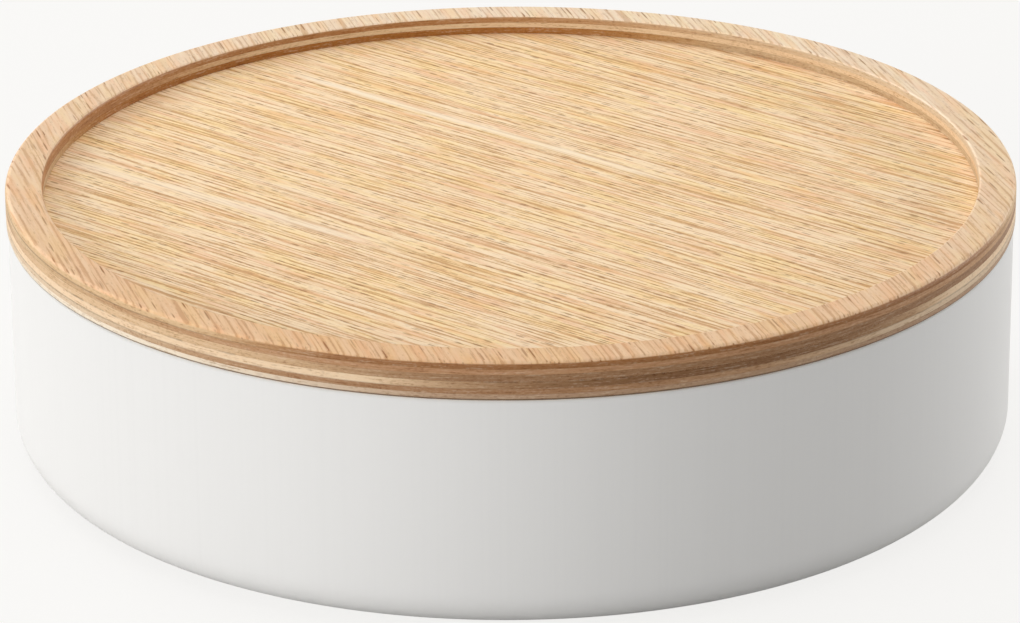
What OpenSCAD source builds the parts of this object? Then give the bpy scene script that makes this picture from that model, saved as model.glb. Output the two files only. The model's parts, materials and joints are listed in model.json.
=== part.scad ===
// A low round storage box. The tub is a hoop on a base disc. The lid is a plywood disc
// with a plywood ring on top, which makes it a shallow tray, and a ring underneath that
// drops into the tub. Z = 0 is the surface the box stands on, and Z is its axis.

/* [Lid] */
// Outside diameter of the lid
lid_d = 250; // [200:5:320]
// Thickness of the face and back sheets of the plywood
face_t = 1.75; // [1.4:0.05:2.4]
// Thickness of the sheet between them
core_t = 1.3; // [0.9:0.05:2.4]
// Width of the ring round the tray
rim_w = 9.2; // [7:0.2:14]
// Rounding of the ring's outer top edge
rim_edge_r = 1.4; // [0.6:0.1:1.7]
// Rounding of the ring's inner top edge
tray_edge_r = 0.8; // [0.4:0.1:1.6]
// Rounding of the lid's outer lower edge
lid_foot_r = 0.5; // [0.3:0.1:1]

/* [Locating ring] */
// How deep the locating ring drops into the tub
locator_h = 5; // [3:0.5:10]
// Width of the locating ring
locator_w = 6; // [4:0.5:10]
// Running gap between the locating ring and the inside of the tub
locator_gap = 0.6; // [0.4:0.1:1.5]
// Rounding of the locating ring's lower edges
locator_edge_r = 1.2; // [0.5:0.1:1.8]

/* [Tub] */
// Height of the tub without the lid
tub_h = 58.5; // [40:0.5:120]
// How far the lid stands past the side of the tub
lid_overhang = 0.4; // [0:0.1:1]
// Thickness of the hoop
wall_t = 6; // [4:0.5:9]
// Rounding of the hoop's top edges
lip_r = 0.9; // [0.4:0.1:1.6]
// Thickness of the base disc
base_t = 12; // [8:0.5:18]
// Height of the step on the base disc that stands inside the hoop
step_h = 2; // [1:0.25:4]
// Glue gap between that step and the hoop
glue_gap = 0.1; // [0.05:0.05:0.3]
// Rounding of the tub's lower edge
foot_r = 9.5; // [3:0.5:10]

/* [Hidden] */
$fn = 192;

lid_r = lid_d / 2;
tray_r = lid_r - rim_w;
tub_r = lid_r - lid_overhang;
hoop_in_r = tub_r - wall_t;
flange_t = base_t - step_h;
locator_r = hoop_in_r - locator_gap;

// Undersides of the plies, from the tub's top edge upwards
panel_back_z = tub_h;
panel_core_z = panel_back_z + face_t;
panel_face_z = panel_core_z + core_t;
rim_back_z = panel_face_z + face_t;
rim_core_z = rim_back_z + face_t;
rim_face_z = rim_core_z + core_t;

// A rounding is never larger than the wall or sheet that carries it
rim_outer_r = min(rim_edge_r, face_t);
rim_inner_r = min(tray_edge_r, face_t);
lid_lower_r = min(lid_foot_r, face_t);
locator_round = min(locator_edge_r, locator_w / 2, locator_h);
lip_round = min(lip_r, wall_t / 2);
base_round = min(foot_r, flange_t);

oak = "burlywood";
dark_oak = "peru";
white = "whitesmoke";

// What a rounding takes off a corner at the origin whose solid is on its lower left
module corner_waste(r) {
    difference() {
        translate([-r, -r]) square(2 * r);
        translate([-r, -r]) circle(r);
    }
}

// Section of a ring from r_in to r_out, with its own rounding at each of the four corners
module ring_section(r_in, r_out, h, top_out = 0, top_in = 0, low_out = 0, low_in = 0) {
    difference() {
        translate([r_in, 0]) square([r_out - r_in, h]);
        if (top_out > 0) translate([r_out, h]) corner_waste(top_out);
        if (top_in > 0) translate([r_in, h]) mirror([1, 0]) corner_waste(top_in);
        if (low_out > 0) translate([r_out, 0]) mirror([0, 1]) corner_waste(low_out);
        if (low_in > 0) translate([r_in, 0]) rotate(180) corner_waste(low_in);
    }
}

// One sheet of the ring round the tray, with the rounded edges that only the top one has
module rim_sheet(z, t, outer_round = 0, inner_round = 0) {
    translate([0, 0, z]) rotate_extrude()
        ring_section(tray_r, lid_r, t, top_out = outer_round, top_in = inner_round);
}

// One sheet of the lid's disc
module panel_sheet(z, t, lower_round = 0) {
    translate([0, 0, z]) rotate_extrude()
        ring_section(0, lid_r, t, low_out = lower_round);
}

module rim_face_veneer() {
    color(oak) rim_sheet(rim_face_z, face_t, rim_outer_r, rim_inner_r);
}

module rim_core_veneer() {
    color(dark_oak) rim_sheet(rim_core_z, core_t);
}

module rim_back_veneer() {
    color(oak) rim_sheet(rim_back_z, face_t);
}

module panel_face_veneer() {
    color(oak) panel_sheet(panel_face_z, face_t);
}

module panel_core_veneer() {
    color(dark_oak) panel_sheet(panel_core_z, core_t);
}

module panel_back_veneer() {
    color(oak) panel_sheet(panel_back_z, face_t, lid_lower_r);
}

// Glued under the disc, a running gap smaller than the inside of the hoop
module locating_ring() {
    color(oak) translate([0, 0, tub_h - locator_h]) rotate_extrude()
        ring_section(locator_r - locator_w, locator_r, locator_h,
            low_out = locator_round, low_in = locator_round);
}

// Stands on the base disc's flange, round its step
module tub_wall() {
    color(white) translate([0, 0, flange_t]) rotate_extrude()
        ring_section(hoop_in_r, tub_r, tub_h - flange_t,
            top_out = lip_round, top_in = lip_round);
}

// A flange with the tub's rounded lower edge, and the step that centres the hoop
module tub_base() {
    color(white) rotate_extrude() union() {
        ring_section(0, tub_r, flange_t, low_out = base_round);
        translate([0, flange_t]) square([hoop_in_r - glue_gap, step_h]);
    }
}

rim_face_veneer();
rim_core_veneer();
rim_back_veneer();
panel_face_veneer();
panel_core_veneer();
panel_back_veneer();
locating_ring();
tub_wall();
tub_base();
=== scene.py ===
# %% [markdown]
# # A round storage box with a tray lid
#
# The box is a white lacquered tub and a lid cut from oak plywood. The lid is a disc of three
# veneers with a ring of three more glued on top, so its top is a shallow tray. The CAD model
# holds every piece at its real size. This lesson gives the pieces clean turned meshes, makes the
# oak and the lacquer out of shader nodes, and lights them in a plain studio.
#
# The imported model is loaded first, as a fixed frame that the finished meshes have to fit.

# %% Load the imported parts
import json
import math

import bmesh
import bpy
from mathutils import Matrix, Vector

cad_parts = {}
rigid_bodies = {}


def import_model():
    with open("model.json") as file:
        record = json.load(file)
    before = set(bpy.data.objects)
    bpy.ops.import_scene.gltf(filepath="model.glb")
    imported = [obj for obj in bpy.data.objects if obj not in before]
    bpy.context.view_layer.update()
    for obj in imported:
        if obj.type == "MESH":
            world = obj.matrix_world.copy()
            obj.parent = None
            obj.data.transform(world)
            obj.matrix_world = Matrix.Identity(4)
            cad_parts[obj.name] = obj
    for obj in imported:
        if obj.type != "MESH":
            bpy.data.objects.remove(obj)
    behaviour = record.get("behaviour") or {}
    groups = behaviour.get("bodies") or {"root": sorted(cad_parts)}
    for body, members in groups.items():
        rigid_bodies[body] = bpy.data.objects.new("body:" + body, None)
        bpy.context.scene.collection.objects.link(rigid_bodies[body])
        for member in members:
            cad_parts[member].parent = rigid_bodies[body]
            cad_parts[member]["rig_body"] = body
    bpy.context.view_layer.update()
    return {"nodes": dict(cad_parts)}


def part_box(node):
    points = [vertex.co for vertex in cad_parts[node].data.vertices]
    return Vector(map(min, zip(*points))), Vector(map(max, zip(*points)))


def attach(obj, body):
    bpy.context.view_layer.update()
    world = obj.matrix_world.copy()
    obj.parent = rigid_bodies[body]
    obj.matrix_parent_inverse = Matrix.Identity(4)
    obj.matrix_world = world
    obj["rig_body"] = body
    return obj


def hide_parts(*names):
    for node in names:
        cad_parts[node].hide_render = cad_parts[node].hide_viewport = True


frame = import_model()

MM = 0.001

# %% [markdown]
# ## Read the sizes off the frame
#
# Every piece of this box is round, so four numbers describe it: the inner and outer radius, the
# underside and the top. Typed in, they would go stale when the CAD changes, so they are measured
# on the CAD node's own vertices.

# %% Measure the round pieces
def round_size(node):
    """Inner radius, outer radius, underside and top of a round CAD node, in metres."""
    radii = [math.hypot(v.co.x, v.co.y) for v in frame["nodes"][node].data.vertices]
    low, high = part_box(node)
    return min(radii), max(radii), low.z, high.z


sizes = {node: round_size(node) for node in frame["nodes"]}
for node, size in sizes.items():
    inner, outer, low, high = (round(length / MM, 2) for length in size)
    print(f"{node}: in {inner}, out {outer}, z {low} to {high} mm")

# %% [markdown]
# ## The camera
#
# The photograph was taken with a long lens from above the front of the box. Four facts give the
# same view: how far away the camera stands, how high, how far it is tilted down, and its focal
# length in pixels of the photograph. They were found by fitting the lid's two ellipses and the
# tub's foot.

# %% Put the camera where the photographer stood
def add_object(name, data):
    """Puts a mesh, lamp or camera into the scene."""
    thing = bpy.data.objects.new(name, data)
    bpy.context.scene.collection.objects.link(thing)
    return thing


PHOTO_WIDTH = 1020
FOCAL_PIXELS = 5383
CAMERA_BACK = 1250 * MM
CAMERA_UP = 537.9 * MM
TILT_DOWN = math.radians(22.12)
LEAN = math.radians(-0.367)
TURN_LEFT = math.radians(0.017)

camera_data = bpy.data.cameras.new("photo_camera")
camera_data.sensor_width = 36
camera_data.lens = FOCAL_PIXELS * camera_data.sensor_width / PHOTO_WIDTH
camera_data.clip_start = 0.05
camera_data.clip_end = 50
camera = add_object("photo_camera", camera_data)
camera.matrix_world = (
    Matrix.Translation((0, -CAMERA_BACK, CAMERA_UP))
    @ Matrix.Rotation(TURN_LEFT, 4, "Z")
    @ Matrix.Rotation(math.pi / 2 - TILT_DOWN, 4, "X")
    @ Matrix.Rotation(LEAN, 4, "Z")
)
bpy.context.scene.camera = camera
print(f"lens {camera_data.lens:.1f} mm")

# %% [markdown]
# ## Turning a piece on the lathe
#
# Each real piece is cut round and its edges are sanded over, so the mesh is made the same way. A
# section is drawn with one vertex at each corner and spun about the box's axis. Then the edge
# loop at each sanded corner is bevelled with the sanding radius, which keeps it tangent.
#
# A disc's section starts and ends on the axis. The spin leaves many vertices there in one spot,
# and merging them closes the pole. The normals are worked out again after that, because a spin
# can turn a shape inside out. Weighted normals keep the broad faces flat up to the rounding.

# %% Define the lathe
AROUND = 384
ARC_STEPS = 7
SAME_SPOT = 0.002 * MM
CREASE = math.radians(40)


def corner_loop(bm, corner):
    """The circle of edges that the spin made from one corner of the section."""
    radius, z = corner
    on_circle = {
        v for v in bm.verts
        if abs(math.hypot(v.co.x, v.co.y) - radius) < SAME_SPOT and abs(v.co.z - z) < SAME_SPOT
    }
    return [e for e in bm.edges if e.verts[0] in on_circle and e.verts[1] in on_circle]


def turn(name, section, sanded, arc_steps=ARC_STEPS):
    """Spins a section of (radius, z) corners about Z, and rounds the corners listed in sanded."""
    bm = bmesh.new()
    corners = [bm.verts.new((radius, 0, z)) for radius, z in section]
    edges = [bm.edges.new(pair) for pair in zip(corners, corners[1:])]
    if section[0][0] > 0:
        edges.append(bm.edges.new((corners[-1], corners[0])))
    bmesh.ops.spin(
        bm, geom=corners + edges, cent=(0, 0, 0), axis=(0, 0, 1),
        angle=2 * math.pi, steps=AROUND, use_merge=True,
    )
    bmesh.ops.remove_doubles(bm, verts=bm.verts, dist=SAME_SPOT)
    bmesh.ops.recalc_face_normals(bm, faces=bm.faces)
    for corner, radius in sanded.items():
        bmesh.ops.bevel(
            bm, geom=corner_loop(bm, corner), offset=radius, offset_type="OFFSET",
            affect="EDGES", segments=arc_steps, profile=0.5, material=-1,
        )
    for face in bm.faces:
        face.smooth = True
    for edge in bm.edges:
        edge.smooth = edge.calc_face_angle(0) < CREASE
    mesh = bpy.data.meshes.new(name)
    bm.to_mesh(mesh)
    bm.free()
    piece = add_object(name, mesh)
    piece.modifiers.new("flat faces stay flat", "WEIGHTED_NORMAL").keep_sharp = True
    print(f"{name}: {len(mesh.polygons)} faces")
    return piece


def ring_section(inner, outer, low, high):
    """The four corners of a ring's section: low inner, low outer, high outer, high inner."""
    return [(inner, low), (outer, low), (outer, high), (inner, high)]


def disc_section(outer, low, high):
    """The section of a disc, from the axis out and back to the axis."""
    return [(0, low), (outer, low), (outer, high), (0, high)]


# %% [markdown]
# ## The ring round the tray
#
# The ring is a blank of three oak veneers cut into a hoop. Only its top sheet has sanded edges:
# a generous one outside, where fingers lift the lid, and a tighter one towards the tray. Where
# the ring is glued on the disc, both arrises are eased a hair, which leaves the fine line that
# shows all the way round the lid.

# %% Turn the three veneers of the ring
FINGER_EDGE = 1.4 * MM
TRAY_EDGE = 0.8 * MM
EASED = 0.12 * MM
EASED_STEPS = 3

inner, outer, low, high = sizes["rim_face_veneer"]
rim_face = turn("rim_face_sheet", ring_section(inner, outer, low, high),
                {(outer, high): FINGER_EDGE, (inner, high): TRAY_EDGE})

inner, outer, low, high = sizes["rim_core_veneer"]
rim_core = turn("rim_core_sheet", ring_section(inner, outer, low, high), {})

inner, outer, low, high = sizes["rim_back_veneer"]
rim_back = turn("rim_back_sheet", ring_section(inner, outer, low, high),
                {(outer, low): EASED}, EASED_STEPS)
JOINT_Z = low

# %% [markdown]
# ## The disc
#
# The disc is the tray's floor and carries the ring. Its lowest sheet has a small rounding where
# it meets the tub, so that the seam between wood and lacquer reads as a soft shadow, deepened
# by painted shade under the rounding.

# %% Turn the three veneers of the disc
DISC_FOOT_EDGE = 0.9 * MM
DISC_FOOT_STEPS = 6

_, outer, low, high = sizes["panel_face_veneer"]
panel_face = turn("panel_face_sheet", disc_section(outer, low, high),
                  {(outer, high): EASED}, EASED_STEPS)

_, outer, low, high = sizes["panel_core_veneer"]
panel_core = turn("panel_core_sheet", disc_section(outer, low, high), {})

_, outer, low, high = sizes["panel_back_veneer"]
panel_back = turn("panel_back_sheet", disc_section(outer, low, high),
                  {(outer, low): DISC_FOOT_EDGE}, DISC_FOOT_STEPS)

# %% [markdown]
# ## The locating ring
#
# Under the disc a narrow solid ring drops into the tub and keeps the lid centred. Its lower
# edges are rounded, so that it finds its way in.

# %% Turn the locating ring
LEAD_IN = 1.2 * MM

inner, outer, low, high = sizes["locating_ring"]
locating_ring = turn("locating_ring_hoop", ring_section(inner, outer, low, high),
                     {(outer, low): LEAD_IN, (inner, low): LEAD_IN})

# %% [markdown]
# ## The tub
#
# The tub is a hoop on a base disc. The base carries the large rounding at the foot, and a step
# on top of it centres the hoop. Both have the same outer radius, so under one coat of lacquer
# they read as a single skin. The foot's rounding is large and shows in every view, so its arc
# has more steps than the others.

# %% Turn the hoop and the base
LIP_EDGE = 0.9 * MM
FOOT_EDGE = 9.5 * MM
FOOT_STEPS = 20

inner, outer, low, high = sizes["tub_wall"]
hoop = turn("tub_hoop", ring_section(inner, outer, low, high),
            {(outer, high): LIP_EDGE, (inner, high): LIP_EDGE})

flange_top = low
_, outer, low, high = sizes["tub_base"]
step_radius = max(
    math.hypot(v.co.x, v.co.y)
    for v in frame["nodes"]["tub_base"].data.vertices
    if v.co.z > high - SAME_SPOT
)
base = turn(
    "tub_base_disc",
    [(0, low), (outer, low), (outer, flange_top), (step_radius, flange_top),
     (step_radius, high), (0, high)],
    {(outer, low): FOOT_EDGE}, FOOT_STEPS,
)

# %% [markdown]
# ## Shader helpers
#
# Materials here are node trees built in code. One helper adds a node, sets its options and
# fills its inputs with values or links. The others wrap the few that are used over and over: a
# sum, a stretched noise, a soft threshold and a blend of two colours. Colours are written as a
# screen shows them, from 0 to 255, and turned into the linear values of sockets.

# %% Define the shader helpers
NODE_GAP = 200


def paint(red, green, blue):
    """A screen colour, 0 to 255, as the linear colour that a socket takes."""
    def linear(value):
        share = value / 255
        return share / 12.92 if share <= 0.04045 else ((share + 0.055) / 1.055) ** 2.4
    return linear(red), linear(green), linear(blue), 1


def add_node(tree, kind, label, inputs, **options):
    """Adds a shader node, sets its options, and fills each input with a value or a link."""
    node = tree.nodes.new("ShaderNode" + kind)
    node.label = label
    node.location.x = NODE_GAP * len(tree.nodes)
    for option, choice in options.items():
        setattr(node, option, choice)
    for name, value in inputs.items():
        if isinstance(value, bpy.types.NodeSocket):
            tree.links.new(value, node.inputs[name])
        else:
            node.inputs[name].default_value = value
    return node


def reckon(tree, label, operation, *values):
    """One step of arithmetic on numbers."""
    return add_node(tree, "Math", label, dict(enumerate(values)), operation=operation).outputs[0]


def times(tree, label, first, second):
    """One number or mask times another."""
    return reckon(tree, label, "MULTIPLY", first, second)


def axes(tree, vector):
    """The X, Y and Z of a vector."""
    return add_node(tree, "SeparateXYZ", "X, Y and Z", {"Vector": vector}).outputs


def streaks(tree, label, vector, per_metre, detail=2.0, roughness=0.5):
    """Noise that is stretched by its own number of features per metre along each axis."""
    scaled = add_node(tree, "VectorMath", label, {0: vector, 1: per_metre}, operation="MULTIPLY")
    noise = add_node(tree, "TexNoise", label, {
        "Vector": scaled.outputs[0], "Scale": 1.0, "Detail": detail, "Roughness": roughness,
    })
    return noise.outputs[0]


def spindles(tree, label, vector, per_metre):
    """Loose cells of its own size along each axis: how far off the middle, and a random number."""
    scaled = add_node(tree, "VectorMath", label, {0: vector, 1: per_metre}, operation="MULTIPLY")
    cells = add_node(tree, "TexVoronoi", label, {"Vector": scaled.outputs[0], "Scale": 1.0})
    chance = add_node(tree, "SeparateColor", label + " chance", {"Color": cells.outputs["Color"]})
    return cells.outputs["Distance"], chance.outputs["Red"]


def soft_step(tree, label, value, start, end, low=0.0, high=1.0):
    """Goes smoothly from low to high as the value goes from start to end."""
    return add_node(tree, "MapRange", label, {
        "Value": value, "From Min": start, "From Max": end, "To Min": low, "To Max": high,
    }, interpolation_type="SMOOTHSTEP").outputs[0]


def blend(tree, label, factor, first, second, mode="MIX"):
    """Blends the first colour towards the second by a factor."""
    node = add_node(tree, "Mix", label, {0: factor, 6: first, 7: second},
                    data_type="RGBA", blend_type=mode)
    return node.outputs[2]


def new_group(name, takes, gives):
    """A shader group with inputs and outputs named by kind: its tree, its inputs and its end."""
    tree = bpy.data.node_groups.new(name, "ShaderNodeTree")
    for side, sockets in (("INPUT", takes), ("OUTPUT", gives)):
        for kind, labels in sockets.items():
            for label in labels:
                tree.interface.new_socket(name=label, in_out=side, socket_type="NodeSocket" + kind)
    start = tree.nodes.new("NodeGroupInput")
    end = tree.nodes.new("NodeGroupOutput")
    return tree, start.outputs, end


def finish_group(tree, end, **results):
    """Links each result to the group output of the same name, and puts the end on the right."""
    for name, socket in results.items():
        tree.links.new(socket, end.inputs[name])
    end.location.x = NODE_GAP * len(tree.nodes)
    print(f"group {tree.name}: {len(tree.nodes)} nodes")
    return tree


# %% [markdown]
# ## Oak veneer as a shader group
#
# Every sheet of the lid is the same wood, turned another way, so the wood is one group that
# each material places with its own values. It works on a point in grain space: X runs along
# the grain, Y across it and Z through the sheet. Noise lets the grain wander a little.
#
# Oak that is cut on the quarter shows its growth lines as fine dark lines, nearly straight and
# about 1.5 mm apart. They come from counting: the distance across the grain, times the number
# of lines in a metre, goes up and down between two lines. Noise moves them and breaks them up.

# %% Start the oak veneer group with its growth lines
WANDER = 4 * MM
GROWTH_LINES_PER_METRE = 690
GOOD_AND_BAD_YEARS = 5.0

tree, given, end = new_group(
    "oak veneer",
    {"Vector": ["Grain Point"],
     "Color": ["Ground", "Late Wood", "Pale Line", "Blush", "Straw", "Pore"],
     "Float": ["Contrast", "Line Strength", "Pore Strength", "Hue Strength",
               "Pores per Metre", "Cells Without"]},
    {"Color": ["Color"], "Float": ["Pores"]},
)
straight = given["Grain Point"]
wander = streaks(tree, "wander of the lines", straight, (5, 24, 0), detail=1.0)
wander = reckon(tree, "wander in metres", "MULTIPLY_ADD", wander, WANDER, -WANDER / 2)
sideways = add_node(tree, "CombineXYZ", "sideways", {"Y": wander})
point = add_node(tree, "VectorMath", "grain that wanders",
                 {0: straight, 1: sideways.outputs[0]}, operation="ADD").outputs[0]

across = axes(tree, point)["Y"]
uneven = streaks(tree, "uneven years", point, (5, 130, 90))
count = reckon(tree, "years passed", "MULTIPLY_ADD", across, GROWTH_LINES_PER_METRE,
               times(tree, "good and bad years", uneven, GOOD_AND_BAD_YEARS))
to_line = reckon(tree, "distance to the nearest line", "PINGPONG", count, 0.5)
breaks = streaks(tree, "breaks in the lines", point, (75, 900, 600))
growth = times(tree, "growth lines", soft_step(tree, "line", to_line, 0.30, 0.02),
               soft_step(tree, "broken", breaks, 0.32, 0.62, 0.1, 1.0))
print(f"one growth line in every {1000 / GROWTH_LINES_PER_METRE:.2f} mm")

# %% [markdown]
# ## The tone of the wood
#
# The tone is a sum of five layers: the growth lines and four noises, each stretched along X, for
# broad bands, finer lines, fibres and a speckle that is only just visible. The middle of the sum
# is taken off, so that plain wood is 0. The Contrast input multiplies what is left.

# %% Add up the tone of the wood
MIDDLE_TONE = -1.53

layers = [
    (growth, 0.56),
    (streaks(tree, "broad bands", point, (6, 400, 280)), 0.72),
    (streaks(tree, "lines between the rings", point, (56, 1030, 850)), 1.3),
    (streaks(tree, "fibres", point, (200, 3000, 3000), detail=1.0), 0.42),
    (streaks(tree, "speckle", point, (1100, 3000, 3000), detail=1.0), 0.34),
]
tone = MIDDLE_TONE
for layer, strength in layers:
    tone = reckon(tree, "one more layer", "MULTIPLY_ADD", layer, strength, tone)
tone = times(tree, "with more or less contrast", tone, given["Contrast"])
print(len(layers), "layers of tone")

# %% [markdown]
# ## The pores
#
# The pores of oak are thin grooves in rows along the rings. One more noise would give blots of
# every length. A Voronoi texture gives single grooves: its cells are squeezed to a few
# millimetres by a fraction of one, each holds a spindle round its middle, and the cell's own
# random number decides how deep it is. In a sheet with few pores only the cells with a high
# number get one. A second, finer set lies between the rows.

# %% Make the pores
PORES_ACROSS_PER_METRE = 1500.0
SMALL_PORES_PER_METRE = (480, 2600, 2600)
SMALL_PORES_UP_TO = 0.32

without = given["Cells Without"]
cell_size = add_node(tree, "CombineXYZ", "pores per metre", {
    "X": given["Pores per Metre"], "Y": PORES_ACROSS_PER_METRE, "Z": PORES_ACROSS_PER_METRE,
})
off_middle, chance = spindles(tree, "pores", point, cell_size.outputs[0])
full_depth = reckon(tree, "full depth", "ADD", without, 0.35)
large = times(tree, "pores of all depths", soft_step(tree, "spindles", off_middle, 0.46, 0.26),
              soft_step(tree, "depth", chance, without, full_depth))
in_rows = soft_step(tree, "rows", to_line, 0.5, 0.1, 0.25, 1.0)
large = times(tree, "pores in rows", large, in_rows)

off_middle, chance = spindles(tree, "small pores", point, SMALL_PORES_PER_METRE)
depth = soft_step(tree, "small depth", chance, without, 1.0, 0.0, SMALL_PORES_UP_TO)
small = times(tree, "small pores of all depths",
              soft_step(tree, "small spindles", off_middle, 0.5, 0.25), depth)
pores = reckon(tree, "all pores", "MAXIMUM", large, small)
print(f"one pore in every {1000 / PORES_ACROSS_PER_METRE:.2f} mm across at most")

# %% [markdown]
# ## Colouring the wood
#
# Above 0 the tone turns to late wood, and below 0 to a cream line. Oak also has loose patches of
# a pinker and a yellower wood. The pinker one is blended in, and the yellower one multiplies, so
# that the lines stay visible under it. The pores come last and lie on top.

# %% Finish the oak veneer group
late = times(tree, "late wood", soft_step(tree, "dark tone", tone, 0.0, 0.34),
             given["Line Strength"])
pale = times(tree, "pale lines", soft_step(tree, "pale tone", tone, 0.0, -0.32),
             given["Line Strength"])
color = blend(tree, "ground and late wood", late, given["Ground"], given["Late Wood"])
color = blend(tree, "pale lines", pale, color, given["Pale Line"])

pink = streaks(tree, "blush patches", straight, (46, 290, 290), detail=3.0, roughness=0.6)
blush = times(tree, "blush", soft_step(tree, "pink", pink, 0.46, 0.70), given["Hue Strength"])
color = blend(tree, "blush in the wood", blush, color, given["Blush"])
yellow = streaks(tree, "straw patches", point, (42, 240, 240), detail=4.0, roughness=0.65)
straw = times(tree, "straw", soft_step(tree, "yellow", yellow, 0.42, 0.66), given["Hue Strength"])
yellower = blend(tree, "yellower wood", 1.0, color, given["Straw"], "MULTIPLY")
color = blend(tree, "straw in the wood", straw, color, yellower)

pore_share = times(tree, "pore strength", pores, given["Pore Strength"])
color = blend(tree, "pores in the wood", pore_share, color, given["Pore"])
oak_veneer = finish_group(tree, end, Color=color, Pores=pores)

# %% [markdown]
# ## The tone of a sheet's edge
#
# Where a sheet's edge faces along the grain, the open pores drink the oil and the wood goes
# brown, and where it runs beside the grain it stays pale. That is why the bands at the lid's
# edge swap between light and dark as they go round.
#
# The group measures how far the surface's normal, laid flat, points along
# the grain: either way on the outside of the lid, and one way only on the ring's inner wall, where
# the one-way tone is painted shade on the side away from the lamps and painted light on the side
# that faces them. The two tones could be mixed straight, but oil darkens wood by a factor. So the
# side tone is multiplied by the ratio of the two, raised to the share of end grain by a Gamma node.

# %% Build the edge tone group
LEAST_SQUARE = 1e-6

tree, given, end = new_group(
    "edge tone",
    {"Vector": ["Normal"], "Color": ["Side Grain", "End Grain"],
     "Float": ["Ends Begin", "Ends Full", "Both Ways"]},
    {"Color": ["Color"], "Float": ["Ends"]},
)
side_grain, end_grain = given["Side Grain"], given["End Grain"]
normal = axes(tree, given["Normal"])
along, across = normal["X"], normal["Y"]
square = reckon(tree, "across", "MULTIPLY_ADD", across, across, LEAST_SQUARE)
square = reckon(tree, "and along", "MULTIPLY_ADD", along, along, square)
level = reckon(tree, "level part", "SQRT", square)
one_way = reckon(tree, "facing the grain", "DIVIDE", along, level)
either_way = reckon(tree, "facing it either way", "ABSOLUTE", one_way)
facing = add_node(tree, "Mix", "one way or both",
                  {0: given["Both Ways"], 2: one_way, 3: either_way}).outputs[0]
ends = soft_step(tree, "end grain", facing, given["Ends Begin"], given["Ends Full"])
ratio = blend(tree, "end grain over side grain", 1.0, end_grain, side_grain, "DIVIDE")
oiled = add_node(tree, "Gamma", "oil taken up", {"Color": ratio, "Gamma": ends}).outputs[0]
color = blend(tree, "side or end grain", 1.0, side_grain, oiled, "MULTIPLY")
edge_tone = finish_group(tree, end, Color=color, Ends=ends)

# %% [markdown]
# ## The picture on a sheet's edge
#
# A second group puts that tone on the edge. The change comes at once on the rounding, as on the
# real lid, and each sheet's Reach says how level the face still is where it starts. Sanding
# leaves marks that run round the edge. A noise that is squeezed in height gives them, and they
# break up the bands, which would look painted on if they were even. The group also tells where
# the roundings are, because one of them is rubbed smooth.

# %% Build the sheet edge group
CHANGE_WITHIN = 0.22
MOTTLE_SHARE = 0.7
DARKER_WOOD = paint(206, 188, 168)
LIGHTER_WOOD = paint(255, 240, 215)
WOOD_IN_PORES = paint(160, 122, 92)

tree, given, end = new_group(
    "sheet edge",
    {"Vector": ["Grain Point", "Normal"], "Color": ["Edge Color", "Face Color"],
     "Float": ["Pores", "Reach"]},
    {"Color": ["Color"], "Float": ["Pores", "Sanded"]},
)
flatness = reckon(tree, "flatness", "ABSOLUTE", axes(tree, given["Normal"])["Z"])
sanded = times(tree, "on the roundings", soft_step(tree, "not level", flatness, 0.98, 0.9),
               soft_step(tree, "not upright", flatness, 0.2, 0.4))
all_edge = reckon(tree, "wholly the edge's", "SUBTRACT", given["Reach"], CHANGE_WITHIN)
upright = soft_step(tree, "upright faces", flatness, given["Reach"], all_edge)

marks = streaks(tree, "sanding marks", given["Grain Point"], (110, 110, 2300),
                detail=3.0, roughness=0.6)
mottle = streaks(tree, "mottle", given["Grain Point"], (900, 900, 2600))
marks = reckon(tree, "marks round 0", "SUBTRACT", marks, (1 + MOTTLE_SHARE) / 2)
marks = reckon(tree, "marks and mottle", "MULTIPLY_ADD", mottle, MOTTLE_SHARE, marks)
dark = soft_step(tree, "dark marks", marks, 0.0, 0.32, 0.0, 0.9)
light = soft_step(tree, "light marks", marks, 0.0, -0.32, 0.0, 0.9)
color = given["Edge Color"]
color = blend(tree, "dark marks on the edge", dark, color,
              blend(tree, "darker wood", 1.0, color, DARKER_WOOD, "MULTIPLY"))
color = blend(tree, "light marks on the edge", light, color,
              blend(tree, "lighter wood", 0.22, color, LIGHTER_WOOD))
sunk = times(tree, "pores at the edge", given["Pores"], 0.25)
color = blend(tree, "pores on the edge", sunk, color,
              blend(tree, "wood in the pores", 1.0, color, WOOD_IN_PORES, "MULTIPLY"))
color = blend(tree, "face or edge", upright, given["Face Color"], color)
pores = times(tree, "shallow at the edge", given["Pores"],
              soft_step(tree, "face only", upright, 0.0, 1.0, 1.0, 0.2))
sheet_edge = finish_group(tree, end, Color=color, Pores=pores, Sanded=sanded)

# %% [markdown]
# ## Sap streaks
#
# Pale streaks of sapwood cross the tray's floor, two that show well and a faint one. They belong
# to that one sheet and lie in a known place, so noise can't make them. A small group draws one:
# a soft band along the grain that thins out at both ends and wavers a little.

# %% Build the sap streak group
WAVER = 2 * MM
STREAK_FADE = 40 * MM

tree, given, end = new_group(
    "sap streak",
    {"Vector": ["Grain Point"], "Float": ["Across", "Half Width", "Start", "End", "Drift"]},
    {"Float": ["Mask"]},
)
point = axes(tree, given["Grain Point"])
along, across = point["X"], point["Y"]
waver = streaks(tree, "waver", given["Grain Point"], (14, 0, 0), detail=1.0)
waver = reckon(tree, "waver in metres", "MULTIPLY_ADD", waver, WAVER, -WAVER / 2)
drift = times(tree, "drift", along, given["Drift"])
middle = reckon(tree, "drift and waver", "ADD", drift, waver)
middle = reckon(tree, "middle", "ADD", middle, given["Across"])
off = reckon(tree, "off the middle", "ABSOLUTE",
             reckon(tree, "side", "SUBTRACT", across, middle))
band = soft_step(tree, "band", off, given["Half Width"], 0.0)
begun = reckon(tree, "begun", "ADD", given["Start"], STREAK_FADE)
ending = reckon(tree, "ending", "SUBTRACT", given["End"], STREAK_FADE)
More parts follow.
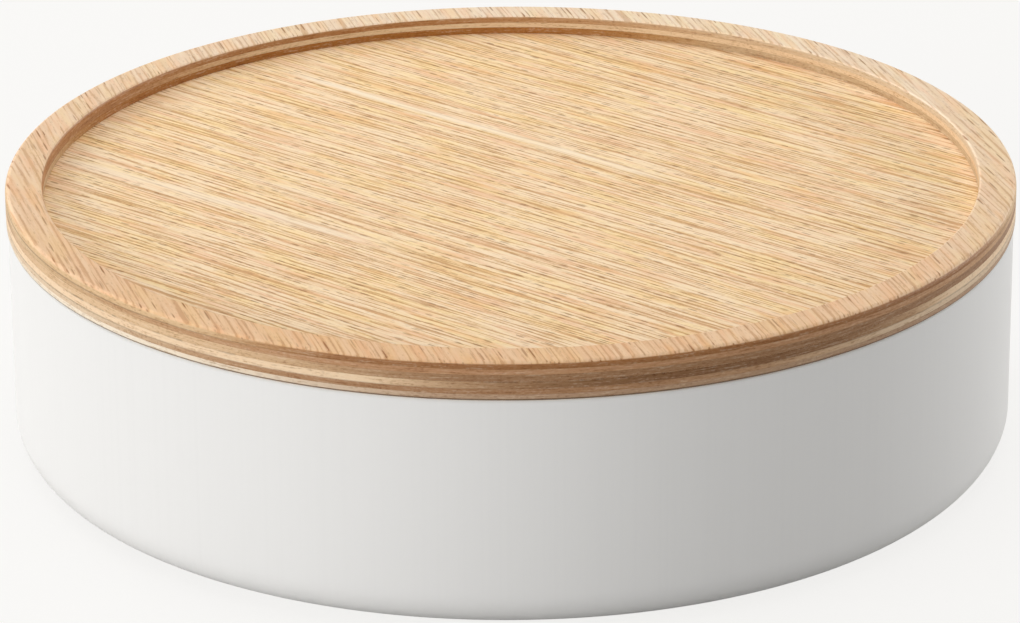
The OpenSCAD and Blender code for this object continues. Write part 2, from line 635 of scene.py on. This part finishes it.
length = times(tree, "length", soft_step(tree, "begins", along, given["Start"], begun),
               soft_step(tree, "ends", along, given["End"], ending))
mask = times(tree, "band between its ends", band, length)
sap_streak = finish_group(tree, end, Mask=mask)

# %% [markdown]
# ## The glue lines
#
# Between two sheets runs a thin dark line of glue. It lies at one height on the lid's edge, so
# a group turns the distance to that height into a mask. The joint between ring and disc was
# glued by hand, and its line is broken into dots where pores meet the glue. Between pressed
# veneers the line is whole, and shows only where the wood is pale. The mask leaves flat faces
# alone, because the tray's floor lies at the height of the joint.

# %% Build the glue line group
tree, given, end = new_group(
    "glue line",
    {"Vector": ["Point", "Normal"], "Float": ["Height", "Half Width", "Dotted"]},
    {"Float": ["Mask"]},
)
above = reckon(tree, "above the line", "SUBTRACT", axes(tree, given["Point"])["Z"], given["Height"])
off = reckon(tree, "off the line", "ABSOLUTE", above)
dark_middle = times(tree, "its dark middle", given["Half Width"], 0.3)
line = soft_step(tree, "line", off, given["Half Width"], dark_middle)
flatness = reckon(tree, "flatness", "ABSOLUTE", axes(tree, given["Normal"])["Z"])
upright = soft_step(tree, "upright faces", flatness, 0.95, 0.7)
dots = streaks(tree, "dots", given["Point"], (380, 380, 60))
runs = streaks(tree, "runs", given["Point"], (30, 30, 20), detail=1.0)
dots = times(tree, "dots in runs", soft_step(tree, "dark dots", dots, 0.46, 0.64, 0.15, 1.0),
             soft_step(tree, "where the glue shows", runs, 0.40, 0.62, 0.1, 0.9))
shown = add_node(tree, "Mix", "whole or dotted", {0: given["Dotted"], 2: 1.0, 3: dots}).outputs[0]
shown = times(tree, "on edges only", shown, upright)
glue_line = finish_group(tree, end, Mask=times(tree, "line on edges", line, shown))

# %% [markdown]
# ## Placing the groups
#
# Each sheet of veneer has its own material, because each came off the log at another place and
# lies another way: the ring's face and back share one direction and its core crosses them, and
# the disc does the same in its own. A Mapping node turns the piece's own coordinates into grain
# space. The other helpers place a group, give an edge its tone and find the ring's inner wall.

# %% Define the helpers that place the groups
WALL_CHANGE = 10 * MM


def new_material(name):
    """A material, its node tree and its shader."""
    material = bpy.data.materials.new(name)
    material.use_nodes = True
    return material, material.node_tree, material.node_tree.nodes["Principled BSDF"]


def place_group(tree, label, group, values):
    """Places a shader group in a material, and gives its outputs."""
    return add_node(tree, "Group", label, values, node_tree=group).outputs


def turned(tree, label, vector, degrees, kind):
    """A point or a normal in a space that is turned about the box's axis."""
    return add_node(tree, "Mapping", label,
                    {"Vector": vector, "Rotation": (0, 0, -math.radians(degrees))},
                    vector_type=kind).outputs[0]


def place_edge_tone(tree, normal, facts, both_ways):
    """An edge's tone, from the way it shows full end grain, both tones, and where ends begin."""
    way, side, end, begin, full = facts
    return place_group(tree, "edge tone", edge_tone, {
        "Normal": turned(tree, "turned to the end grain", normal, way, "VECTOR"),
        "Side Grain": paint(*side), "End Grain": paint(*end),
        "Ends Begin": begin, "Ends Full": full, "Both Ways": both_ways,
    })


def inner_wall(tree, place):
    """1 on the wall inside the ring, where the surface faces the axis, and 0 outside."""
    flat = add_node(tree, "VectorMath", "point laid flat",
                    {0: place.outputs["Object"], 1: (1, 1, 0)}, operation="MULTIPLY")
    outward = add_node(tree, "VectorMath", "how far it faces outward",
                       {0: flat.outputs[0], 1: place.outputs["Normal"]}, operation="DOT_PRODUCT")
    return soft_step(tree, "inner wall", outward.outputs["Value"], WALL_CHANGE, -WALL_CHANGE)


print("groups that can be placed:", [group.name for group in bpy.data.node_groups])

# %% [markdown]
# ## What only some sheets have
#
# The tray's floor has sap streaks. They make the ground and the lines paler, and take most of
# the pores and the patches away. The two face sheets change a little from their near to their
# far end. The glue lines lie on the edge's own tone. Under the disc's lower rounding a dark
# brown is painted as shade, which gives the seam above the tub its soft brown line of painted
# shadow.

# %% Define the extras for some sheets
GLUE = paint(84, 52, 32)
GLUE_HALF_WIDTH = 0.3 * MM
SAP = paint(251, 233, 208)
SAP_LINE = paint(243, 217, 184)
PORES_LEFT_IN_SAP = 0.1
HUE_LEFT_IN_SAP = 0.15
BLANK_REACH = 120 * MM
# Painted shade: the dark brown under the disc's lower rounding draws the seam's shadow line.
SEAM_SHADE_PAINT = paint(98, 76, 56)
SEAM_SHADE_STRENGTH = 0.85
UNDERSIDE_FADE = 0.05 * MM


def lay_sap(tree, grain, values, sap):
    """Changes a sheet's values where a streak of sap runs."""
    mask = 0.0
    for strength, across, half_width, start, end, drift in sap:
        streak = place_group(tree, "sap streak", sap_streak, {
            "Grain Point": grain, "Across": across * MM, "Half Width": half_width * MM,
            "Start": start * MM, "End": end * MM, "Drift": drift,
        })
        strong = times(tree, "streak strength", streak["Mask"], strength)
        mask = reckon(tree, "all streaks", "MAXIMUM", strong, mask)
    for name, paler in (("Ground", SAP), ("Late Wood", SAP_LINE)):
        values[name] = blend(tree, "paler in the sap", mask, values[name], paler)
    for name, left in (("Pore Strength", PORES_LEFT_IN_SAP), ("Hue Strength", HUE_LEFT_IN_SAP)):
        values[name] = soft_step(tree, "less in the sap", mask, 0.0, 1.0, values[name], left)


def far_end_share(tree, point, way):
    """0 at the near end of the blank and 1 at its far end."""
    along = axes(tree, turned(tree, "turned to the far end", point, way, "POINT"))["X"]
    return add_node(tree, "MapRange", "how far along", {
        "Value": along, "From Min": -BLANK_REACH, "From Max": BLANK_REACH,
    }).outputs[0]


def lay_glue_lines(tree, place, outside, lines):
    """Draws glue lines on the edge's tone. A whole line fades where the edge is end grain."""
    color = outside["Color"]
    for height, dotted, strength in lines:
        line = place_group(tree, "glue line", glue_line, {
            "Point": place.outputs["Object"], "Normal": place.outputs["Normal"],
            "Height": height, "Half Width": GLUE_HALF_WIDTH, "Dotted": dotted,
        })
        if not dotted:
            beside = reckon(tree, "where the wood is pale", "SUBTRACT", 1.0, outside["Ends"])
            strength = times(tree, "faint at the ends", beside, strength)
        share = times(tree, "line strength", line["Mask"], strength)
        color = blend(tree, "glue line", share, color, GLUE)
    return color


def paint_seam_shade(tree, place, color, underside):
    """Paints shade on what faces down, except for the underside at its own height."""
    normal_z = axes(tree, place.outputs["Normal"])["Z"]
    height = axes(tree, place.outputs["Object"])["Z"]
    faces_down = soft_step(tree, "faces down", normal_z, -0.15, -0.5)
    above = soft_step(tree, "not the underside", height, underside, underside + UNDERSIDE_FADE)
    under = times(tree, "under the rounding", faces_down, above)
    share = times(tree, "foot share", under, SEAM_SHADE_STRENGTH)
    # Painted shade: a dark brown under the rounding stands for the shadow of the seam.
    return blend(tree, "painted shade under the rounding", share, color, SEAM_SHADE_PAINT)


print(f"blanks change over {2 * BLANK_REACH / MM:.0f} mm")

# %% [markdown]
# ## A finish for each sheet
#
# The finish puts the groups together: the face's figure, the edge's tone with its glue lines,
# and the picture on the edge. The offset moves each sheet along the log, so no two show the same
# figure. Oiled oak is matt, with a low sheen, and its pores are small hollows: roughness
# rises in them and a Bump node sinks them. The arris between the ring's top and the tray is
# rubbed smoother, and catches the light as a thin pale line.

# %% Define the oak finish
OPEN_WOOD = 0.55
PORE_FLOOR = 0.8
RUBBED_BY = -0.18
PORE_DEPTH = 0.1 * MM
OILED_SHEEN = 0.2


def oak_finish(name, grain_angle, offset, tones, edge, inner_tone_and_shade=None, line_strength=0.95,
               pore_strength=0.85, hue_strength=0.6, pores_per_metre=240, cells_without=0.45,
               sap=(), lines=(), blank=None, foot=None, reach=0.99):
    """The material of one sheet, from its grain, its tones, its edge and its extras."""
    material, tree, shader = new_material(name)
    place = add_node(tree, "TexCoord", "the piece's own place", {})
    point, normal = place.outputs["Object"], place.outputs["Normal"]
    grain = turned(tree, "turned to the grain", point, grain_angle, "POINT")
    log = add_node(tree, "Mapping", "another part of the log",
                   {"Vector": grain, "Location": offset}, vector_type="POINT").outputs[0]
    values = {
        "Grain Point": log, "Contrast": 1.0, "Line Strength": line_strength,
        "Pore Strength": pore_strength, "Hue Strength": hue_strength,
        "Pores per Metre": pores_per_metre, "Cells Without": cells_without, **tones,
    }
    if sap:
        lay_sap(tree, grain, values, sap)
    if blank:
        way, near_tone, near_contrast = blank
        far_share = far_end_share(tree, point, way)
        values["Contrast"] = add_node(tree, "Mix", "contrast from near to far",
                                      {0: far_share, 2: near_contrast, 3: 1.0}).outputs[0]
    figure = place_group(tree, "oak veneer", oak_veneer, values)
    face_color = figure["Color"]
    if blank:
        tone = blend(tree, "near tone to far tone", far_share, paint(*near_tone), (1, 1, 1, 1))
        face_color = blend(tree, "toned along the blank", 1.0, face_color, tone, "MULTIPLY")

    outside = place_edge_tone(tree, normal, edge, 1.0)
    edge_color = lay_glue_lines(tree, place, outside, lines)
    if inner_tone_and_shade:
        # Inner wall: the wood's tone with painted shade at the back-left and painted light at the
        # right.
        inside = place_edge_tone(tree, normal, inner_tone_and_shade, 0.0)
        inner_share = inner_wall(tree, place)
        edge_color = blend(tree, "outer or inner wall", inner_share, edge_color, inside["Color"])
    wood = place_group(tree, "sheet edge", sheet_edge, {
        "Grain Point": log, "Normal": normal, "Edge Color": edge_color,
        "Face Color": face_color, "Pores": figure["Pores"], "Reach": reach,
    })
    color = wood["Color"]
    # Painted shade: the lower rounding is darkened for the seam's shadow.
    if foot:
        color = paint_seam_shade(tree, place, color, foot)
    tree.links.new(color, shader.inputs["Base Color"])

    rough = soft_step(tree, "dull in the pores", wood["Pores"], 0.0, 1.0, OPEN_WOOD, PORE_FLOOR)
    if inner_tone_and_shade:
        rubbed = times(tree, "rubbed towards the tray", wood["Sanded"], inner_share)
        rough = reckon(tree, "smoother where rubbed", "MULTIPLY_ADD", rubbed, RUBBED_BY, rough)
    tree.links.new(rough, shader.inputs["Roughness"])
    depth = reckon(tree, "pores sink", "SUBTRACT", 1.0, wood["Pores"])
    bump = add_node(tree, "Bump", "pore depth",
                    {"Height": depth, "Strength": 0.25, "Distance": PORE_DEPTH})
    tree.links.new(bump.outputs["Normal"], shader.inputs["Normal"])
    shader.inputs["Specular IOR Level"].default_value = OILED_SHEEN
    return material


print("roughness goes from", OPEN_WOOD, "in the wood to", PORE_FLOOR, "in the pores")

# %% [markdown]
# ## Tones and edges
#
# The tones are few: straw for the ground of the wood, a browner late wood, a cream line, a
# pinkish blush, a yellow tint and the pores' brown. Each edge has its own five facts, because the
# sheets came from different logs: which way round the lid it shows full end grain, its tone
# beside the grain and at the ends, and where the change begins and is full. The ring's inner
# wall has edges of its own. Their tones are the wood's tone with painted shade and painted light
# in it: darker at the back-left, where the wall is in shade, and paler at the right, where it
# faces the lamps.
#
# A blank's change is three facts: the way to its far end, the tone that its near end is
# multiplied by, and how much stronger its lines are there. The ring's face is warmer at the
# front, and the tray's floor has stronger lines there.

# %% Choose the tones and the edges
RING_GRAIN = -74
DISC_GRAIN = -40
QUARTER = 90


def oak_tones(ground, late, pale):
    """The three tones that differ from sheet to sheet, with those that all sheets share."""
    return {
        "Ground": paint(*ground), "Late Wood": paint(*late), "Pale Line": paint(*pale),
        "Blush": paint(239, 189, 146), "Straw": paint(255, 250, 211), "Pore": paint(140, 93, 52),
    }


tray_tones = oak_tones((239, 207, 165), (198, 147, 94), (253, 228, 193))
rim_tones = oak_tones((233, 209, 181), (198, 160, 124), (242, 224, 200))
sheet_tones = oak_tones((232, 197, 157), (190, 146, 104), (246, 217, 180))
core_tones = oak_tones((200, 155, 112), (168, 122, 80), (216, 176, 134))
rim_blank = (72, (243, 222, 200), 1.0)
tray_blank = (90, (249, 249, 250), 1.85)

rim_face_edge = (-69, (212, 178, 136), (156, 107, 65), 0.52, 0.82)
rim_core_edge = (-78, (212, 181, 140), (186, 140, 101), 0.0, 0.97)
rim_back_edge = (-138, (159, 120, 86), (224, 190, 150), 0.70, 1.02)
disc_face_edge = (-69, (240, 210, 174), (126, 88, 57), 0.78, 1.05)
disc_core_edge = (-93, (222, 196, 165), (166, 123, 87), 0.60, 1.06)
disc_back_edge = (-141, (181, 148, 119), (247, 233, 212), 0.60, 1.06)
locating_ring_edge = (-62, (226, 192, 153), (158, 121, 92), 0.55, 0.95)

# The inner walls' tones hold painted shade, darker at the back-left, and painted light, paler at
# the right.
rim_face_inner_tone_and_shade = (-162, (169, 120, 75), (207, 184, 154), 0.0, 1.06)
rim_core_inner_tone_and_shade = (-114, (164, 116, 72), (218, 190, 153), 0.0, 0.60)
rim_back_inner_tone_and_shade = (-63, (188, 160, 124), (161, 106, 51), 0.50, 0.90)

print("ten edges of five facts each")

# %% [markdown]
# ## The seven oak finishes
#
# The disc's face shows most, so it has the most going on: dense fine lines and pale streaks of
# sap. The ring's face has fewer and longer pores, and its edge starts lower on the rounding. The
# cores take the darker tones, and the locating ring only shows when the lid is off.

# %% Make the seven oak finishes
# Strength, then in mm: place across the grain, half width, start and end. Last, the drift.
tray_sap = [
    (1.0, 27.9, 2.6, -118, 46, 0.0),
    (0.75, -50, 4.2, -118, 22, 0.06),
    (0.35, -35, 4.5, -90, 10, 0.0),
]

WHOLE, DOTTED = 0.0, 1.0
UNDERSIDE, TOP = 2, 3
joint_line = (JOINT_Z, DOTTED, 0.6)
rim_core_line = (sizes["rim_core_veneer"][TOP], WHOLE, 0.4)
disc_core_line = (sizes["panel_core_veneer"][TOP], WHOLE, 0.3)

rim_face_oak = oak_finish(
    "rim_face_oak", RING_GRAIN, (0.31, 0.12, 0.05), rim_tones, rim_face_edge, rim_face_inner_tone_and_shade,
    line_strength=0.65, pore_strength=0.7, pores_per_metre=115, cells_without=0.6,
    hue_strength=0.35, blank=rim_blank, reach=0.74, lines=[rim_core_line],
)
rim_core_oak = oak_finish(
    "rim_core_oak", RING_GRAIN + QUARTER, (0.62, 0.37, 0.11), core_tones, rim_core_edge,
    rim_core_inner_tone_and_shade, lines=[rim_core_line],
)
rim_back_oak = oak_finish(
    "rim_back_oak", RING_GRAIN, (0.93, 0.55, 0.17), sheet_tones, rim_back_edge,
    rim_back_inner_tone_and_shade, lines=[joint_line],
)
panel_face_oak = oak_finish(
    "panel_face_oak", DISC_GRAIN, (1.21, 0.71, 0.23), tray_tones, disc_face_edge,
    line_strength=0.81, pore_strength=0.6, sap=tray_sap, lines=[joint_line, disc_core_line],
    blank=tray_blank,
)
panel_core_oak = oak_finish(
    "panel_core_oak", DISC_GRAIN + QUARTER, (1.52, 0.93, 0.29), core_tones, disc_core_edge,
    lines=[disc_core_line],
)
# The disc's back sheet gets the painted shade under its lower rounding.
panel_back_oak = oak_finish(
    "panel_back_oak", DISC_GRAIN, (1.83, 1.12, 0.37), tray_tones, disc_back_edge,
    foot=sizes["panel_back_veneer"][UNDERSIDE],
)
locating_ring_oak = oak_finish(
    "locating_ring_oak", DISC_GRAIN, (2.15, 1.31, 0.43), sheet_tones, locating_ring_edge,
)
print("oak finishes:", [m.name for m in bpy.data.materials if m.name.endswith("oak")])

# %% [markdown]
# ## White lacquer
#
# The tub is sprayed with a matt white lacquer. It isn't a flat colour: the wood's upright grain
# shows through as streaks that are hardly there, and the spray leaves a fine, soft orange peel.
# Both are noise. The streaks hardly change with height, so they run up the wall, and have no
# seam. The hoop and the base share the group, so the coat runs on.

# %% Build the lacquer group and its two finishes
COAT = paint(237, 236, 234)
THIN_COAT = paint(228, 227, 225)
STREAK_STRENGTH = 0.13
PEEL_DEPTH = 0.1 * MM
LACQUER_SHEEN = 0.12

tree, given, end = new_group(
    "lacquer skin",
    {"Vector": ["Point"], "Color": ["Coat", "Thin Coat"], "Float": ["Streak Strength"]},
    {"Color": ["Color"], "Float": ["Roughness", "Peel"]},
)
fine = streaks(tree, "upright grain", given["Point"], (900, 900, 5))
broad = streaks(tree, "broad grain", given["Point"], (90, 90, 2))
grain = times(tree, "grain under the coat", soft_step(tree, "fine", fine, 0.35, 0.75),
              soft_step(tree, "broad", broad, 0.3, 0.7, 0.3, 1.0))
peel = streaks(tree, "orange peel", given["Point"], (700, 700, 700), detail=1.0)
streak_share = times(tree, "streak strength", grain, given["Streak Strength"])
color = blend(tree, "thin where the grain stands", streak_share, given["Coat"], given["Thin Coat"])
rough = soft_step(tree, "sheen", broad, 0.3, 0.7, 0.62, 0.72)
height = reckon(tree, "peel and grain", "MULTIPLY_ADD", grain, 0.6, peel)
lacquer_skin = finish_group(tree, end, Color=color, Roughness=rough, Peel=height)


def lacquer_finish(name):
    """A material with the lacquer on it."""
    material, tree, shader = new_material(name)
    place = add_node(tree, "TexCoord", "the piece's own place", {})
    skin = place_group(tree, "lacquer skin", lacquer_skin, {
        "Point": place.outputs["Object"], "Coat": COAT, "Thin Coat": THIN_COAT,
        "Streak Strength": STREAK_STRENGTH,
    })
    tree.links.new(skin["Color"], shader.inputs["Base Color"])
    tree.links.new(skin["Roughness"], shader.inputs["Roughness"])
    bump = add_node(tree, "Bump", "peel depth",
                    {"Height": skin["Peel"], "Strength": 0.06, "Distance": PEEL_DEPTH})
    tree.links.new(bump.outputs["Normal"], shader.inputs["Normal"])
    shader.inputs["Specular IOR Level"].default_value = LACQUER_SHEEN
    return material


white_lacquer_wall = lacquer_finish("white_lacquer_wall")
white_lacquer_base = lacquer_finish("white_lacquer_base")
print("lacquer finishes:", white_lacquer_wall.name, "and", white_lacquer_base.name)

# %% [markdown]
# ## Hang the pieces on the frame
#
# Each new mesh stands for one CAD node: it hides the node and rides on its body. The body is
# looked up in the frame, so all that is written down here is which piece, node and material
# belong together.


def dress(piece, node, material):
    """Gives a piece its material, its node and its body."""
    body = frame["nodes"][node]["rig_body"]
    piece.data.materials.append(material)
    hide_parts(node)
    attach(piece, body)
    print(f"{piece.name} stands for {node} and rides on {body}")


dress(rim_face, "rim_face_veneer", rim_face_oak)
dress(rim_core, "rim_core_veneer", rim_core_oak)
dress(rim_back, "rim_back_veneer", rim_back_oak)
dress(panel_face, "panel_face_veneer", panel_face_oak)
dress(panel_core, "panel_core_veneer", panel_core_oak)
dress(panel_back, "panel_back_veneer", panel_back_oak)
dress(locating_ring, "locating_ring", locating_ring_oak)
dress(hoop, "tub_wall", white_lacquer_wall)
dress(base, "tub_base", white_lacquer_base)

# %% [markdown]
# ## The floor and the background
#
# The photograph has a plain off-white ground with no edge. A large floor and a world of the same
# colour give that from every side. A white floor that is only lit would be grey in places, so
# for rays that come straight from the camera, or by way of a reflection, most of its colour is
# its own. The rest is lit, and keeps the box's soft shadow. All other rays meet a pale grey
# floor, which throws less light on the box, so that the tub's foot turns into shade.

# %% Lay the floor and set the world
BACKGROUND = paint(249, 248, 246)
FLOOR_SEEN = paint(246, 245, 243)
FLOOR_UNSEEN = paint(176, 175, 173)
AMBIENT_TINT = paint(250, 250, 250)
AMBIENT = 0.1
FLOOR_ACROSS = 6.0
FLOOR_DULLNESS = 0.9
OWN_COLOUR_SHARE = 0.88


def seen_directly(tree):
    """1 for rays from the camera, reflections and transmission, and 0 for light that bounces."""
    path = add_node(tree, "LightPath", "what kind of ray", {})
    glossy = reckon(tree, "camera or glossy", "MAXIMUM",
                    path.outputs["Is Camera Ray"], path.outputs["Is Glossy Ray"])
    return reckon(tree, "or transmission", "MAXIMUM", glossy, path.outputs["Is Transmission Ray"])


bm = bmesh.new()
bmesh.ops.create_grid(bm, x_segments=1, y_segments=1, size=FLOOR_ACROSS / 2)
floor_mesh = bpy.data.meshes.new("studio_floor")
bm.to_mesh(floor_mesh)
bm.free()
floor = add_object("studio_floor", floor_mesh)

floor_material, tree, shader = new_material("studio_floor")
seen = seen_directly(tree)
floor_color = blend(tree, "paler where it is seen", seen, FLOOR_UNSEEN, FLOOR_SEEN)
tree.links.new(floor_color, shader.inputs["Base Color"])
shader.inputs["Roughness"].default_value = FLOOR_DULLNESS
shader.inputs["Specular IOR Level"].default_value = 0.0
own = add_node(tree, "Emission", "own colour", {"Color": BACKGROUND, "Strength": 1.0})
share = times(tree, "own colour share", seen, OWN_COLOUR_SHARE)
mixed = add_node(tree, "MixShader", "lit and own colour",
                 {0: share, 1: shader.outputs[0], 2: own.outputs[0]})
tree.links.new(mixed.outputs[0], tree.nodes["Material Output"].inputs["Surface"])
floor_mesh.materials.append(floor_material)

world = bpy.data.worlds.new("studio")
world.use_nodes = True
bpy.context.scene.world = world
tree = world.node_tree
ambient = tree.nodes["Background"]
ambient.inputs["Color"].default_value = AMBIENT_TINT
ambient.inputs["Strength"].default_value = AMBIENT
backdrop = add_node(tree, "Background", "backdrop", {"Color": BACKGROUND, "Strength": 1.0})
mixed = add_node(tree, "MixShader", "backdrop for the camera",
                 {0: seen_directly(tree), 1: ambient.outputs[0], 2: backdrop.outputs[0]})
tree.links.new(mixed.outputs[0], tree.nodes["World Output"].inputs["Surface"])
print("floor and world ready")

# %% [markdown]
# ## The lights
#
# The tub's side tells how the box was lit: it is brightest at the left, darkest right of the
# middle, and a little brighter again at the far right. So there are two large soft windows at
# the left, a third behind them, a soft light overhead for the tray, and two low reflectors at
# the right. The strength of each was found by comparing the shade round the tub, at its foot and
# in the tray with the photograph.

# %% Hang the lights
def softbox(name, around, above, distance, wide, high, watts):
    """An area light at an angle round the box and above the floor, aimed at the box's foot."""
    data = bpy.data.lights.new(name, "AREA")
    data.shape = "RECTANGLE"
    data.size = wide
    data.size_y = high
    data.energy = watts
    light = add_object(name, data)
    turn_angle, lift = math.radians(around), math.radians(above)
    level = math.cos(lift)
    way = Vector((math.cos(turn_angle) * level, math.sin(turn_angle) * level, math.sin(lift)))
    light.location = way * distance
    light.rotation_mode = "QUATERNION"
    light.rotation_quaternion = way.to_track_quat("Z", "Y")
    print(f"{name}: {watts} W")


softbox("left_window", around=-150, above=14, distance=2.4, wide=1.8, high=0.9, watts=23.6)
softbox("front_left_window", around=-120, above=14, distance=2.4, wide=1.8, high=0.9, watts=20.4)
softbox("back_left_window", around=135, above=30, distance=2.7, wide=1.5, high=1.5, watts=32.0)
softbox("overhead", around=90, above=80, distance=2.7, wide=2.1, high=2.1, watts=40.5)
softbox("right_reflector", around=0, above=9, distance=2.4, wide=1.8, high=0.5, watts=12.0)
softbox("back_right_reflector", around=30, above=9, distance=2.4, wide=1.8, high=0.5, watts=23.0)

# %% [markdown]
# ## The view transform
#
# The render shows colours as they are written only with the Standard view transform.

# %% Set the view transform
bpy.context.scene.view_settings.view_transform = "Standard"
